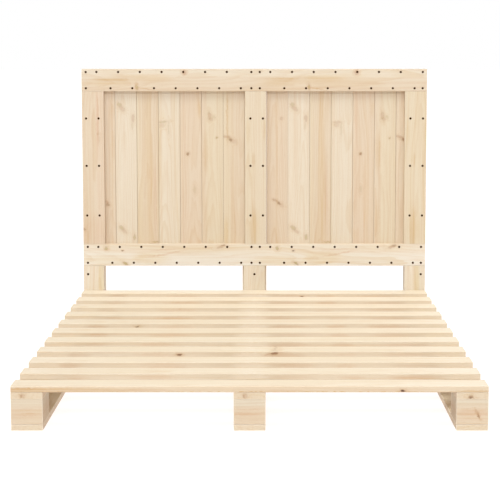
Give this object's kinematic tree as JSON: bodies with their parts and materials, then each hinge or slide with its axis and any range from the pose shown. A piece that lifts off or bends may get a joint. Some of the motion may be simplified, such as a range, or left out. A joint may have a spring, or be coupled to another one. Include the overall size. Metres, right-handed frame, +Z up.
{
  "type": "bed frame",
  "caption": "Pine pallet-style double bed frame: cross slats over three lines of blocks on skids, with a framed plank headboard on posts.",
  "frame": {"origin": "on the floor, under the middle of the bed's outline", "axes": "+Z up, +Y from the foot end to the headboard, +X to the right seen from the foot end"},
  "size_m": [1.6, 2.08, 1.187],
  "materials": {
    "slat_pine": "planed untreated pine, matt",
    "line_pine": "planed untreated pine, matt",
    "block_pine": "sawn untreated pine, matt",
    "frame_pine": "planed untreated pine with knots, matt",
    "plank_pine": "planed untreated pine with knots, matt",
    "post_pine": "planed untreated pine, matt",
    "dark_screw": "dark phosphate, satin",
    "zinc_fastener": "bright zinc"
  },
  "bodies": {
    "root": {"slat_01": "slat_pine", "slat_02": "slat_pine", "slat_03": "slat_pine", "slat_04": "slat_pine", "slat_05": "slat_pine", "slat_06": "slat_pine", "slat_07": "slat_pine", "slat_08": "slat_pine", "slat_09": "slat_pine", "slat_10": "slat_pine", "slat_11": "slat_pine", "skid_left": "line_pine", "runner_left": "line_pine", "block_left_front": "block_pine", "block_left_middle": "block_pine", "block_left_rear": "block_pine", "skid_centre": "line_pine", "runner_centre": "line_pine", "block_centre_front": "block_pine", "block_centre_middle": "block_pine", "block_centre_rear": "block_pine", "skid_right": "line_pine", "runner_right": "line_pine", "block_right_front": "block_pine", "block_right_middle": "block_pine", "block_right_rear": "block_pine", "bottom_rail": "frame_pine", "top_rail": "frame_pine", "stile_left": "frame_pine", "stile_centre": "frame_pine", "stile_right": "frame_pine", "plank_01": "plank_pine", "plank_02": "plank_pine", "plank_03": "plank_pine", "plank_04": "plank_pine", "plank_05": "plank_pine", "plank_06": "plank_pine", "plank_07": "plank_pine", "plank_08": "plank_pine", "plank_09": "plank_pine", "plank_10": "plank_pine", "plank_11": "plank_pine", "plank_12": "plank_pine", "plank_13": "plank_pine", "plank_14": "plank_pine", "plank_15": "plank_pine", "plank_16": "plank_pine", "plank_17": "plank_pine", "leg_left": "post_pine", "post_left": "post_pine", "leg_centre": "post_pine", "post_centre": "post_pine", "leg_right": "post_pine", "post_right": "post_pine", "rail_screws": "dark_screw", "stile_screws": "dark_screw", "leg_screws": "dark_screw", "post_bolts": "zinc_fastener", "deck_nails": "zinc_fastener", "block_nails": "zinc_fastener"}
  },
  "joints": []
}
